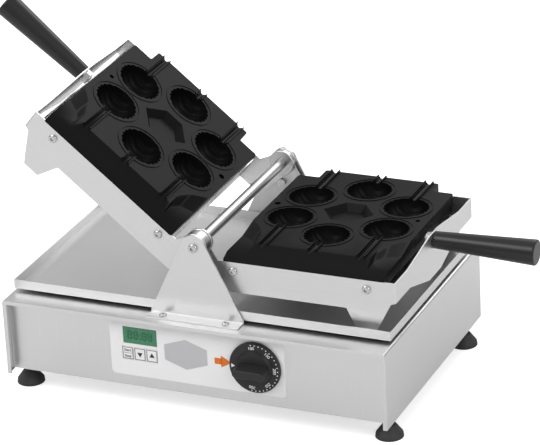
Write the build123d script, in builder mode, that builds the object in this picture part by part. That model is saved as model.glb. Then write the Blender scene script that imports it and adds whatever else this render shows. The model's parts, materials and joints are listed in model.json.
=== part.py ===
"""Swing-type stick waffle maker: two heated halves hinged on one rod above a drip tray.

Frame: +X along the housing to its right end, +Y to the rear, +Z up.
Pieces are drawn about a point on the table under the housing's centre. As each is written,
it moves to the part's frame, whose origin is on the table under the centre of the whole object.
Each half is drawn lying flat to the right of the hinge rod, in half coordinates:
u = x from the rod, y as above, n = height above the rod's axis.
"""
from build123d import *
from math import sqrt, sin, cos, radians
import os

os.makedirs("parts", exist_ok=True)

# Housing
HOUSING_W = 550.0
HOUSING_D = 360.0
HOUSING_H = 109.0
STAND = 28.0
SHEET = 2.0
HEM = 6.0
LIP = 6.0
PANEL_RECESS = 14.0
TOP_BEND = 4.0
BASE_Z = STAND
TOP_Z = STAND + HOUSING_H
FRONT_Y = -HOUSING_D / 2
REAR_Y = HOUSING_D / 2
SIDE_X = HOUSING_W / 2
PANEL_FRONT = FRONT_Y + PANEL_RECESS
PANEL_BACK = PANEL_FRONT + SHEET

# Feet
FOOT_X_LEFT = -SIDE_X + 13
FOOT_X_RIGHT = SIDE_X - 13
FOOT_Y_FRONT = FRONT_Y + 40
FOOT_Y_REAR = REAR_Y - 36
FOOT_D = 38.0
FOOT_TOP_D = 19.0
FOOT_H = 17.0
STUD_D = 8.0

# Drip tray
TRAY_W = 542.8
TRAY_FRONT = -148.0
TRAY_REAR = 156.8
TRAY_WALL = 1.5
TRAY_BOTTOM = TOP_Z + 3.7
TRAY_TOP = TOP_Z + 17.5
TRAY_FLOOR = TRAY_BOTTOM + TRAY_WALL

# Hinge rod and brackets
AXIS_Z = STAND + 210.0
BRACKET_T = 3.0
BRACKET_HALF_BASE = 66.5
BRACKET_R = 18.0
BRACKET_FLANGE = 18.0
BRACKET_FOOT_T = 2.0
BRACKET_SCREW_X = 45.0
BRACKET_SCREW_OUT = 13.0
BRACKET_FRONT_IN = TRAY_FRONT - 0.4
BRACKET_REAR_IN = TRAY_REAR + 0.6
ROD_D = 15.0
BOSS_D = 36.0
SCREW_D = 8.0
HEAD_D = 13.0
HEAD_H = 4.0

# Heated halves
HALF_FRONT = -135.0
HALF_REAR = 153.5
HALF_T = 2.0
EAR_R = 17.0
EAR_GAP = 0.5
DECK_N = -6.0
FRAME_TOP = -21.0
FRAME_LOW = -64.0
FRAME_END_LOW = -49.0
FRAME_END = 275.0
FOOT_CLEAR = 0.4
OPEN_ANGLE = 140.5
TAB_HALF = 98.0
TAB_TOP_HALF = 17.0
TAB_RISE = 12.0
DROP_HALF = 92.0
DROP_TIP_HALF = 22.0
DROP_FALL = 21.0
HALF_MID = (HALF_FRONT + HALF_REAR) / 2

# Baking plate casting
PLATE_IN = 33.5
PLATE_OUT = 258.5
NOTCH_U = 30.0
NOTCH_Y = 26.0
APRON_RUN = 35.0
APRON_EDGE = 1.2
BODY_LOW = -41.0
BODY_INSET = 9.0
DECK_MID_Y = 29.0
DECK_MID_U = (PLATE_IN + PLATE_OUT) / 2
PITCH_U = 68.4
ROW_OUTER = 37.0
ROW_MIDDLE = 77.0
BALL_R = 31.0
BALL_RINGS = 8
GROOVE_DEEP = 1.9
RING_R = 36.4
RING_W = 1.3
RING_H = 0.8
RIB_OFF = 5.6
RIB_W = 2.2
RIB_H = 2.5
CHANNEL_R = 3.4
STAR_DEEP = 9.0
POCKET_DEEP = 7.4

# Handle
HANDLE_N = -20.5
HANDLE_ROOT_D = 23.0
HANDLE_END_D = 35.0
HANDLE_L = 142.0
HANDLE_STUD_D = 10.0

# Controls on the front panel, x from the housing's left end and height above its lower edge
OVERLAY = (152.0, 404.0, 18.5, 98.0)
DISPLAY = (172.0, 220.5, 66.0, 89.5)
KEYS = (169.6, 220.4, 42.0, 60.5)
KNOB_AT = (363.0, 58.5)
KNOB_D = 72.0
KNOB_BACK = PANEL_FRONT - 1.4
KNOB_SKIRT = 5.0
GRIP_L = 48.0
GRIP_W = 14.0
GRIP_DEEP = 24.0
OVERLAY_T = 0.6
KEY_TRAVEL = 0.5


# Centre of the whole object, from the handles' ends, the knob and the cable gland
GLAND_OUT = 21.0
open_turn = radians(OPEN_ANGLE)
handle_tip = FRAME_END + HANDLE_L
tip_left = (handle_tip - 2.5) * cos(open_turn) + (HANDLE_N - HANDLE_END_D / 2 + 2.5) * sin(open_turn) - 2.5
CENTRE_X = round((handle_tip + tip_left) / 2, 1)
CENTRE_Y = round((KNOB_BACK - KNOB_SKIRT - GRIP_DEEP + REAR_Y + GLAND_OUT) / 2, 1)


def finish(part, label):
    """Move a finished piece to the part's frame, label it and write its file."""
    placed = part.moved(Location((-CENTRE_X, -CENTRE_Y, 0)))
    placed.label = label
    export_step(placed, "parts/" + label + ".step")


def panel_x(across):
    """World x of a place measured from the housing's left end."""
    return across - SIDE_X


def panel_z(up):
    """World z of a place measured from the housing's lower edge."""
    return up + BASE_Z


def at_right(part):
    """Put a piece drawn in half coordinates on the rod's axis, lying to the right."""
    return part.moved(Location((0, 0, AXIS_Z)))


def at_left(part):
    """Mirror a piece drawn in half coordinates and swing it open to the left."""
    turned = mirror(part, about=Plane.YZ)
    turned = turned.moved(Location((0, 0, 0), (0, 180 - OPEN_ANGLE, 0)))
    return turned.moved(Location((0, 0, AXIS_Z)))


def both_halves(part, name):
    """Write the right-hand piece and its mirrored left-hand twin."""
    right = at_right(part)
    finish(right, name + "_right")
    left = at_left(part)
    finish(left, name + "_left")


def screw_head(plane, head_d=HEAD_D, head_h=HEAD_H):
    """A rounded button head with a hexagon socket, on the given plane."""
    with BuildPart() as head:
        with BuildSketch(plane):
            Circle(head_d / 2)
        extrude(amount=head_h)
        fillet(head.edges().filter_by(GeomType.CIRCLE).sort_by(Axis(plane.origin, plane.z_dir))[-1:], head_h * 0.6)
        with BuildSketch(plane.offset(head_h)):
            RegularPolygon(head_d * 0.24, 6)
        extrude(amount=-head_h * 0.55, mode=Mode.SUBTRACT)
    return head.part


# Housing shell: a sheet bent over the top, with returned edges at the front
with BuildPart() as housing_shell:
    with BuildSketch(Plane.XZ.offset(-FRONT_Y)):
        with Locations((0, BASE_Z + HOUSING_H / 2)):
            Rectangle(HOUSING_W, HOUSING_H)
    extrude(amount=-HOUSING_D)
    top_edges = housing_shell.edges().filter_by(Axis.Y).group_by(Axis.Z)[-1]
    fillet(top_edges, TOP_BEND)
    with BuildSketch(Plane.XZ.offset(-FRONT_Y + 1)):
        with Locations((0, BASE_Z + (HOUSING_H - LIP) / 2 - 0.5)):
            Rectangle(HOUSING_W - 2 * HEM, HOUSING_H - LIP + 1)
    extrude(amount=-SHEET - 1, mode=Mode.SUBTRACT)
    with BuildSketch(Plane.XZ.offset(-FRONT_Y - SHEET)):
        with Locations((0, BASE_Z + (HOUSING_H - SHEET) / 2 - 0.5)):
            Rectangle(HOUSING_W - 2 * SHEET, HOUSING_H - SHEET + 1)
    extrude(amount=-HOUSING_D, mode=Mode.SUBTRACT)
finish(housing_shell.part, "housing_shell")

# Front panel, set back behind the shell's edges, with its openings
PANEL_H = HOUSING_H - SHEET - 4.0
PANEL_RETURN = 12.0
display_w = DISPLAY[1] - DISPLAY[0]
display_h = DISPLAY[3] - DISPLAY[2]
display_x = panel_x((DISPLAY[0] + DISPLAY[1]) / 2)
display_z = panel_z((DISPLAY[2] + DISPLAY[3]) / 2)
key_gap = 2.0
key_w = (KEYS[1] - KEYS[0] - 2 * key_gap) / 3
key_h = KEYS[3] - KEYS[2]
key_z = panel_z((KEYS[2] + KEYS[3]) / 2)
key_places = [panel_x(KEYS[0] + key_w / 2 + i * (key_w + key_gap)) for i in range(3)]
knob_x = panel_x(KNOB_AT[0])
knob_z = panel_z(KNOB_AT[1])
SHAFT_D = 6.0


OPENING_SLACK = 0.8

# Openings through the panel and its overlay for the display, the keys and the knob's shaft
with BuildPart() as control_openings:
    with BuildSketch(Plane.XZ.offset(-PANEL_FRONT + 2)):
        with Locations((display_x, display_z)):
            Rectangle(display_w + OPENING_SLACK, display_h + OPENING_SLACK)
        with Locations(*[(x, key_z) for x in key_places]):
            Rectangle(key_w + OPENING_SLACK, key_h + OPENING_SLACK)
        with Locations((knob_x, knob_z)):
            Circle(SHAFT_D / 2 + 1.5)
    extrude(amount=-SHEET - 4)

with BuildPart() as front_panel:
    with BuildSketch(Plane.XZ.offset(-PANEL_FRONT)):
        with Locations((0, BASE_Z + 3 + PANEL_H / 2)):
            Rectangle(HOUSING_W - 2 * SHEET - 0.4, PANEL_H)
    extrude(amount=-SHEET)
    with BuildSketch(Plane.XY.offset(BASE_Z + 3)):
        with Locations((0, PANEL_FRONT + PANEL_RETURN / 2)):
            Rectangle(HOUSING_W - 2 * SHEET - 0.4, PANEL_RETURN)
    extrude(amount=SHEET)
    add(control_openings.part, mode=Mode.SUBTRACT)
finish(front_panel.part, "front_panel")

with BuildPart() as control_overlay:
    with BuildSketch(Plane.XZ.offset(-PANEL_FRONT)):
        with Locations((panel_x((OVERLAY[0] + OVERLAY[1]) / 2), panel_z((OVERLAY[2] + OVERLAY[3]) / 2))):
            RectangleRounded(OVERLAY[1] - OVERLAY[0], OVERLAY[3] - OVERLAY[2], 6)
    extrude(amount=OVERLAY_T)
    add(control_openings.part, mode=Mode.SUBTRACT)
finish(control_overlay.part, "control_overlay")

with BuildPart() as display_window:
    with BuildSketch(Plane.XZ.offset(-PANEL_FRONT + OVERLAY_T)):
        with Locations((display_x, display_z)):
            RectangleRounded(display_w, display_h, 0.8)
    extrude(amount=-OVERLAY_T - SHEET)
    with BuildSketch(Plane.XZ.offset(-PANEL_BACK)):
        with Locations((display_x, display_z)):
            Rectangle(display_w + 6, display_h + 4)
    extrude(amount=-1.5)
finish(display_window.part, "display_window")

for key_name, key_x in zip(("key_start_stop", "key_down", "key_up"), key_places):
    with BuildPart() as key:
        with BuildSketch(Plane.XZ.offset(-PANEL_FRONT + OVERLAY_T + 0.5)):
            with Locations((key_x, key_z)):
                RectangleRounded(key_w, key_h, 1.6)
        extrude(amount=-SHEET - OVERLAY_T)
        fillet(key.faces().sort_by(Axis.Y)[0].edges(), 0.3)
        with BuildSketch(Plane.XZ.offset(-PANEL_BACK - 0.1)):
            with Locations((key_x, key_z)):
                Rectangle(key_w + 0.9, key_h + 3)
        extrude(amount=-1.0)
        with BuildSketch(Plane.XZ.offset(-PANEL_BACK + 0.6)):
            with Locations((key_x, key_z)):
                Rectangle(key_w - 1, key_h - 1)
        extrude(amount=-0.8)
        with BuildSketch(Plane.XZ.offset(-PANEL_BACK - 1.0)):
            with Locations((key_x, key_z)):
                Circle(2.5)
        extrude(amount=-1.6)
    finish(key.part, key_name)

# Thermostat knob: a skirted dial with a raised grip bar
with BuildPart() as thermostat_knob:
    with BuildSketch(Plane.XZ.offset(-KNOB_BACK)):
        with Locations((knob_x, knob_z)):
            Circle(KNOB_D / 2)
    extrude(amount=KNOB_SKIRT)
    chamfer(thermostat_knob.edges().group_by(Axis.Y)[0], 1.0)
    with BuildSketch(Plane.XZ.offset(-KNOB_BACK + KNOB_SKIRT)):
        with Locations((knob_x, knob_z)):
            Circle(KNOB_D / 2 - 10.5)
    extrude(amount=4.0, taper=30)
    with BuildSketch(Plane.XZ.offset(-KNOB_BACK + KNOB_SKIRT)):
        with Locations((knob_x, knob_z)):
            SlotOverall(GRIP_L, GRIP_W)
    extrude(amount=GRIP_DEEP, taper=4)
    fillet(thermostat_knob.faces().sort_by(Axis.Y)[0].edges(), 1.4)
    with BuildSketch(Plane.XZ.offset(-KNOB_BACK)):
        with Locations((knob_x, knob_z)):
            Circle(SHAFT_D / 2)
    extrude(amount=-17.0)
finish(thermostat_knob.part, "thermostat_knob")

# Thermostat body behind the panel, on its bracket of the front panel
with BuildPart() as thermostat_body:
    with BuildSketch(Plane.XZ.offset(-PANEL_BACK)):
        with Locations((knob_x, knob_z)):
            Rectangle(38, 34)
    extrude(amount=-30)
    fillet(thermostat_body.edges().filter_by(Axis.Y), 3)
    with BuildSketch(Plane.XZ.offset(-PANEL_BACK)):
        with Locations((knob_x, knob_z)):
            Circle(SHAFT_D / 2 + 0.6)
    extrude(amount=-20, mode=Mode.SUBTRACT)
finish(thermostat_body.part, "thermostat_body")

# Timer board behind the display and keys
board_back = PANEL_BACK + 6.5
with BuildPart() as timer_board:
    with BuildSketch(Plane.XZ.offset(-board_back)):
        with Locations((display_x, panel_z(62))):
            Rectangle(78, 62)
    extrude(amount=-1.6)
    with BuildSketch(Plane.XZ.offset(-board_back)):
        with Locations((display_x, display_z)):
            Rectangle(display_w, display_h)
    extrude(amount=4.0)
    with BuildSketch(Plane.XZ.offset(-board_back)):
        with Locations(*[(x, key_z) for x in key_places]):
            Rectangle(6, 6)
    extrude(amount=2.6)
    with BuildSketch(Plane.XZ.offset(-board_back - 1.6)):
        with Locations((display_x - 20, panel_z(50)), (display_x + 20, panel_z(50))):
            Rectangle(18, 22)
    extrude(amount=-14)
finish(timer_board.part, "timer_board")

# Heater relay and mains terminal block on the bottom cover
with BuildPart() as heater_relay:
    with BuildSketch(Plane.XY.offset(BASE_Z + SHEET)):
        with Locations((90, 40)):
            Rectangle(45, 52)
    extrude(amount=48)
    fillet(heater_relay.faces().sort_by(Axis.Z)[-1].edges(), 2)
finish(heater_relay.part, "heater_relay")

with BuildPart() as terminal_block:
    with BuildSketch(Plane.XY.offset(BASE_Z + SHEET)):
        with Locations((170, 120)):
            Rectangle(62, 24)
    extrude(amount=20)
    with BuildSketch(Plane.XY.offset(BASE_Z + SHEET + 20)):
        with Locations((170, 120)):
            with GridLocations(12, 10, 5, 2):
                Circle(3.2)
    extrude(amount=-9, mode=Mode.SUBTRACT)
finish(terminal_block.part, "terminal_block")

# Bottom cover and rear panel
GLAND_X = 190.0
GLAND_Z = panel_z(34)
GLAND_BORE = 9.0
feet_places = [
    (FOOT_X_LEFT, FOOT_Y_FRONT),
    (FOOT_X_RIGHT, FOOT_Y_FRONT),
    (FOOT_X_LEFT, FOOT_Y_REAR),
    (FOOT_X_RIGHT, FOOT_Y_REAR),
]
with BuildPart() as bottom_cover:
    with BuildSketch(Plane.XY.offset(BASE_Z)):
        with Locations((0, (PANEL_FRONT + PANEL_RETURN + REAR_Y - SHEET) / 2)):
            Rectangle(HOUSING_W - 2 * SHEET - 0.6, REAR_Y - SHEET - PANEL_FRONT - PANEL_RETURN - 0.8)
    extrude(amount=SHEET)
    with BuildSketch(Plane.XY.offset(BASE_Z)):
        with Locations((-SIDE_X / 2, 10)):
            with GridLocations(34, 14, 4, 7):
                SlotOverall(24, 4)
    extrude(amount=SHEET, mode=Mode.SUBTRACT)
    with BuildSketch(Plane.XY.offset(BASE_Z)):
        with Locations(*feet_places):
            Circle(STUD_D / 2)
    extrude(amount=SHEET, mode=Mode.SUBTRACT)
finish(bottom_cover.part, "bottom_cover")

with BuildPart() as rear_panel:
    with BuildSketch(Plane.XZ.offset(-REAR_Y)):
        with Locations((0, BASE_Z + (HOUSING_H - SHEET) / 2 + 0.1)):
            Rectangle(HOUSING_W - 2 * SHEET - 0.4, HOUSING_H - SHEET - 0.2)
    extrude(amount=SHEET)
    with BuildSketch(Plane.XZ.offset(-REAR_Y)):
        with Locations((GLAND_X, GLAND_Z)):
            Circle(8.0)
        with Locations((-120, panel_z(62))):
            with GridLocations(30, 11, 5, 3):
                SlotOverall(22, 4)
    extrude(amount=SHEET, mode=Mode.SUBTRACT)
finish(rear_panel.part, "rear_panel")

rear_screw_places = [(x, panel_z(z)) for x in (-255, -85, 85, 255) for z in (12, 96)]
with BuildPart() as rear_panel_screws:
    for sx, sz in rear_screw_places:
        add(screw_head(Plane((sx, REAR_Y, sz), x_dir=(1, 0, 0), z_dir=(0, 1, 0)), 8.0, 2.4))
finish(rear_panel_screws.part, "rear_panel_screws")

with BuildPart() as cable_gland:
    with BuildSketch(Plane.XZ.offset(-REAR_Y)):
        with Locations((GLAND_X, GLAND_Z)):
            RegularPolygon(13.5, 6)
    extrude(amount=-7)
    with BuildSketch(Plane.XZ.offset(-REAR_Y - 7)):
        with Locations((GLAND_X, GLAND_Z)):
            Circle(11)
    extrude(amount=-GLAND_OUT + 7, taper=9)
    with BuildSketch(Plane.XZ.offset(-REAR_Y)):
        with Locations((GLAND_X, GLAND_Z)):
            Circle(7.9)
    extrude(amount=12)
    with BuildSketch(Plane.XZ.offset(-REAR_Y + 12)):
        with Locations((GLAND_X, GLAND_Z)):
            Circle(GLAND_BORE / 2)
    extrude(amount=-40, mode=Mode.SUBTRACT)
finish(cable_gland.part, "cable_gland")

with BuildPart() as gland_nut:
    with BuildSketch(Plane.XZ.offset(-REAR_Y + SHEET)):
        with Locations((GLAND_X, GLAND_Z)):
            RegularPolygon(12.5, 6)
            Circle(7.9, mode=Mode.SUBTRACT)
    extrude(amount=5)
finish(gland_nut.part, "gland_nut")

# Adjustable feet: rubber cones, threaded studs and their nuts
with BuildPart() as foot_rubbers:
    for fx, fy in feet_places:
        with BuildSketch(Plane((fx, fy, 0))):
            Circle(FOOT_D / 2)
        with BuildSketch(Plane((fx, fy, 5))):
            Circle(FOOT_D / 2 - 0.6)
        loft()
        with BuildSketch(Plane((fx, fy, 5))):
            Circle(FOOT_D / 2 - 0.6)
        with BuildSketch(Plane((fx, fy, FOOT_H))):
            Circle(FOOT_TOP_D / 2)
        loft()
        with BuildSketch(Plane((fx, fy, FOOT_H))):
            Circle(STUD_D / 2)
        extrude(amount=-9, mode=Mode.SUBTRACT)
finish(foot_rubbers.part, "foot_rubbers")

with BuildPart() as foot_studs:
    for fx, fy in feet_places:
        with BuildSketch(Plane((fx, fy, FOOT_H - 9))):
            Circle(STUD_D / 2)
        extrude(amount=BASE_Z - FOOT_H + 9 + SHEET + 8)
finish(foot_studs.part, "foot_studs")

with BuildPart() as foot_nuts:
    for fx, fy in feet_places:
        for level in (BASE_Z - 5.0, BASE_Z + SHEET):
            with BuildSketch(Plane((fx, fy, level))):
                RegularPolygon(7.0, 6)
                Circle(STUD_D / 2, mode=Mode.SUBTRACT)
            extrude(amount=5.0)
finish(foot_nuts.part, "foot_nuts")

# Drip tray with upturned walls, lifted off the housing by pads
tray_mid = (TRAY_FRONT + TRAY_REAR) / 2
tray_d = TRAY_REAR - TRAY_FRONT
with BuildPart() as drip_tray:
    with BuildSketch(Plane.XY.offset(TRAY_BOTTOM)):
        with Locations((0, tray_mid)):
            Rectangle(TRAY_W, tray_d)
    extrude(amount=TRAY_TOP - TRAY_BOTTOM)
    fillet(drip_tray.faces().sort_by(Axis.Z)[0].edges(), 2.2)
    with BuildSketch(Plane.XY.offset(TRAY_FLOOR)):
        with Locations((0, tray_mid)):
            Rectangle(TRAY_W - 2 * TRAY_WALL, tray_d - 2 * TRAY_WALL)
    extrude(amount=TRAY_TOP - TRAY_FLOOR, mode=Mode.SUBTRACT)
finish(drip_tray.part, "drip_tray")

with BuildPart() as tray_pads:
    with BuildSketch(Plane.XY.offset(TOP_Z)):
        with Locations((0, tray_mid)):
            with GridLocations(TRAY_W - 90, tray_d - 60, 2, 2):
                Circle(11)
    extrude(amount=TRAY_BOTTOM - TOP_Z)
finish(tray_pads.part, "tray_pads")


def bracket(inner_y, outward):
    """An A-shaped rod bracket with its foot turned outward, and a hole for the rod's screw."""
    angle_sin = BRACKET_R / sqrt(BRACKET_HALF_BASE ** 2 + (AXIS_Z - TOP_Z) ** 2)
    face = Plane((0, inner_y, 0), x_dir=(1, 0, 0), z_dir=(0, -1, 0))
    side = BRACKET_R * (1 - angle_sin * 0.25)
    with BuildPart() as plate:
        with BuildSketch(face):
            with BuildLine():
                Polyline(
                    (side, AXIS_Z + 4),
                    (BRACKET_HALF_BASE, TOP_Z + 4),
                    (BRACKET_HALF_BASE, TOP_Z),
                    (-BRACKET_HALF_BASE, TOP_Z),
                    (-BRACKET_HALF_BASE, TOP_Z + 4),
                    (-side, AXIS_Z + 4),
                )
                ThreePointArc((-side, AXIS_Z + 4), (0, AXIS_Z + BRACKET_R), (side, AXIS_Z + 4))
            make_face()
        extrude(amount=-outward * BRACKET_T)
        flange_y = inner_y + outward * (BRACKET_T + BRACKET_FLANGE) / 2
        with BuildSketch(Plane.XY.offset(TOP_Z)):
            with Locations((0, flange_y)):
                Rectangle(2 * BRACKET_HALF_BASE, BRACKET_T + BRACKET_FLANGE)
        extrude(amount=BRACKET_FOOT_T)
        with BuildSketch(face.offset(20)):
            with Locations((0, AXIS_Z)):
                Circle(SCREW_D / 2)
        extrude(amount=-40, mode=Mode.SUBTRACT)
    return plate.part


finish(bracket(BRACKET_FRONT_IN, -1), "pivot_bracket_front")
finish(bracket(BRACKET_REAR_IN, 1), "pivot_bracket_rear")

# Screws that hold the bracket feet to the housing's top
with BuildPart() as bracket_screws:
    for screw_y in (BRACKET_FRONT_IN - BRACKET_SCREW_OUT, BRACKET_REAR_IN + BRACKET_SCREW_OUT):
        for screw_x in (-BRACKET_SCREW_X, BRACKET_SCREW_X):
            add(screw_head(Plane((screw_x, screw_y, TOP_Z + BRACKET_FOOT_T)), 10, 3))
finish(bracket_screws.part, "bracket_screws")

# Hinge rod between the brackets, with its end screws
with BuildPart() as pivot_rod:
    with BuildSketch(Plane((0, BRACKET_FRONT_IN, AXIS_Z), x_dir=(1, 0, 0), z_dir=(0, 1, 0))):
        Circle(ROD_D / 2)
    extrude(amount=BRACKET_REAR_IN - BRACKET_FRONT_IN)
    for end_y, inward in ((BRACKET_FRONT_IN, 1), (BRACKET_REAR_IN, -1)):
        with BuildSketch(Plane((0, end_y, AXIS_Z), x_dir=(1, 0, 0), z_dir=(0, inward, 0))):
            Circle(SCREW_D / 2)
        extrude(amount=18, mode=Mode.SUBTRACT)
finish(pivot_rod.part, "pivot_rod")

with BuildPart() as rod_screws:
    for end_y, outward in ((BRACKET_FRONT_IN, -1), (BRACKET_REAR_IN, 1)):
        outer = Plane((0, end_y + outward * BRACKET_T, AXIS_Z), x_dir=(1, 0, 0), z_dir=(0, outward, 0))
        add(screw_head(outer))
        with BuildSketch(outer):
            Circle(SCREW_D / 2)
        extrude(amount=-18)
finish(rod_screws.part, "rod_screws")


def collar(name, y_from, y_to):
    """A turned spacer or collar on the rod."""
    with BuildPart() as ring:
        with BuildSketch(Plane((0, y_from, AXIS_Z), x_dir=(1, 0, 0), z_dir=(0, 1, 0))):
            Circle(BOSS_D / 2)
            Circle(ROD_D / 2, mode=Mode.SUBTRACT)
        extrude(amount=y_to - y_from)
        rims = ring.edges().filter_by(GeomType.CIRCLE).sort_by(SortBy.RADIUS)[-2:]
        chamfer(rims, 0.6)
    finish(ring.part, name)


LAYER = HALF_T + EAR_GAP
collar("spacer_front", BRACKET_FRONT_IN, HALF_FRONT - EAR_GAP)
collar("spacer_rear", HALF_REAR + EAR_GAP, BRACKET_REAR_IN)
collar("collar_front", HALF_FRONT + 2 * LAYER, HALF_FRONT + 2 * LAYER + 4)
collar("collar_rear", HALF_REAR - 2 * LAYER - 4, HALF_REAR - 2 * LAYER)

# Heated halves, drawn flat to the right in half coordinates
foot_low = TRAY_FLOOR + FOOT_CLEAR - AXIS_Z
PLATE_SCREWS = ((48.0, -34.0), (235.0, -34.0))


def frame_side(plane):
    """Side plate of a half: hinge ear, straight cheek and trapezoid foot."""
    with BuildSketch(plane) as side:
        with BuildLine():
            Polyline(
                (-EAR_R, 0),
                (-8, -52),
                (4, FRAME_LOW),
                (206, FRAME_LOW),
                (221, foot_low),
                (245, foot_low),
                (268, FRAME_END_LOW - 2),
                (FRAME_END, FRAME_END_LOW),
                (FRAME_END, FRAME_TOP),
                (26, FRAME_TOP),
                (EAR_R, -4),
            )
            ThreePointArc((EAR_R, -4), (2, EAR_R), (-EAR_R, 0))
        make_face()
        with Locations((0, 0)):
            Circle(ROD_D / 2 + 0.08, mode=Mode.SUBTRACT)
        with Locations(*PLATE_SCREWS):
            Circle(3.0, mode=Mode.SUBTRACT)
    return side.sketch


def half_frame(inset):
    """Bent sheet frame: two side plates and an outer end plate in one piece."""
    y_front = HALF_FRONT + inset
    y_rear = HALF_REAR - inset
    with BuildPart() as body:
        front = frame_side(Plane((0, y_front, 0), x_dir=(1, 0, 0), z_dir=(0, -1, 0)))
        extrude(front, amount=-HALF_T)
        rear = frame_side(Plane((0, y_rear - HALF_T, 0), x_dir=(1, 0, 0), z_dir=(0, -1, 0)))
        extrude(rear, amount=-HALF_T)
        with BuildSketch(Plane((FRAME_END - HALF_T, 0, 0), x_dir=(0, 1, 0), z_dir=(1, 0, 0))):
            with BuildLine():
                Polyline(
                    (y_front, FRAME_END_LOW),
                    (HALF_MID - DROP_HALF, FRAME_END_LOW),
                    (HALF_MID - DROP_TIP_HALF, FRAME_END_LOW - DROP_FALL),
                    (HALF_MID + DROP_TIP_HALF, FRAME_END_LOW - DROP_FALL),
                    (HALF_MID + DROP_HALF, FRAME_END_LOW),
                    (y_rear, FRAME_END_LOW),
                    (y_rear, FRAME_TOP),
                    (HALF_MID + TAB_HALF, FRAME_TOP),
                    (HALF_MID + TAB_TOP_HALF, FRAME_TOP + TAB_RISE),
                    (HALF_MID - TAB_TOP_HALF, FRAME_TOP + TAB_RISE),
                    (HALF_MID - TAB_HALF, FRAME_TOP),
                    (y_front, FRAME_TOP),
                    close=True,
                )
            make_face()
            with Locations((HALF_MID, HANDLE_N)):
                Circle(HANDLE_STUD_D / 2, mode=Mode.SUBTRACT)
        extrude(amount=HALF_T)
        corners = body.edges().filter_by(Axis.Z).filter_by_position(Axis.X, FRAME_END - 0.1, FRAME_END + 0.1)
        corners = [e for e in corners if min(abs(e.center().Y - y_front), abs(e.center().Y - y_rear)) < 0.1]
        chamfer(corners, 1.4)
    return body.part


finish(at_right(half_frame(0.0)), "frame_right")
finish(at_left(half_frame(LAYER)), "frame_left")

# Stop pins on the right frame that hold the left half open
STOP_D = 10.0
STOP_BACK = 24.0


def left_to_world(u, n):
    """Half coordinates of the opened left half, as x and height above the rod's axis."""
    return (
        u * cos(open_turn) + n * sin(open_turn),
        u * sin(open_turn) - n * cos(open_turn),
    )


edge_a = left_to_world(-EAR_R, 0)
edge_b = left_to_world(-8, -52)
edge_len = sqrt((edge_b[0] - edge_a[0]) ** 2 + (edge_b[1] - edge_a[1]) ** 2)
along = ((edge_b[0] - edge_a[0]) / edge_len, (edge_b[1] - edge_a[1]) / edge_len)
away = (-along[1], along[0])
stop_x = edge_a[0] + along[0] * STOP_BACK + away[0] * (STOP_D / 2 + 0.15)
stop_n = edge_a[1] + along[1] * STOP_BACK + away[1] * (STOP_D / 2 + 0.15)
with BuildPart() as stop_pins:
    for start, inward in ((HALF_FRONT + HALF_T, 1), (HALF_REAR - HALF_T, -1)):
        with BuildSketch(Plane((stop_x, start, AXIS_Z + stop_n), x_dir=(1, 0, 0), z_dir=(0, inward, 0))):
            Circle(STOP_D / 2)
        extrude(amount=HALF_T + 2 * EAR_GAP + 2)
finish(stop_pins.part, "stop_pins")


def ball_profile():
    """Half outline of the waffle's ringed ball, as (along the stick, radius)."""
    step = 2 * BALL_R / BALL_RINGS
    stations = [-BALL_R + i * step for i in range(BALL_RINGS + 1)]

    def shell(y):
        return sqrt(max(BALL_R ** 2 - y ** 2, 0.0))

    outline = [(-BALL_R, 0.0)]
    for i, y in enumerate(stations[:-1]):
        if i > 0:
            outline.append((y, shell(y) - GROOVE_DEEP))
        outline.append((y + step * 0.3, shell(y + step * 0.3) + 0.2))
        outline.append((y + step * 0.7, shell(y + step * 0.7) + 0.2))
    outline.append((BALL_R, 0.0))
    return outline


def cavity_centres():
    """The six balls: two rows of three, the middle one of each nearer the edge."""
    places = []
    for side in (-1, 1):
        for column in (-1, 0, 1):
            row = ROW_MIDDLE if column == 0 else ROW_OUTER
            places.append((DECK_MID_U + column * PITCH_U, DECK_MID_Y + side * row, side))
    return places


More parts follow.
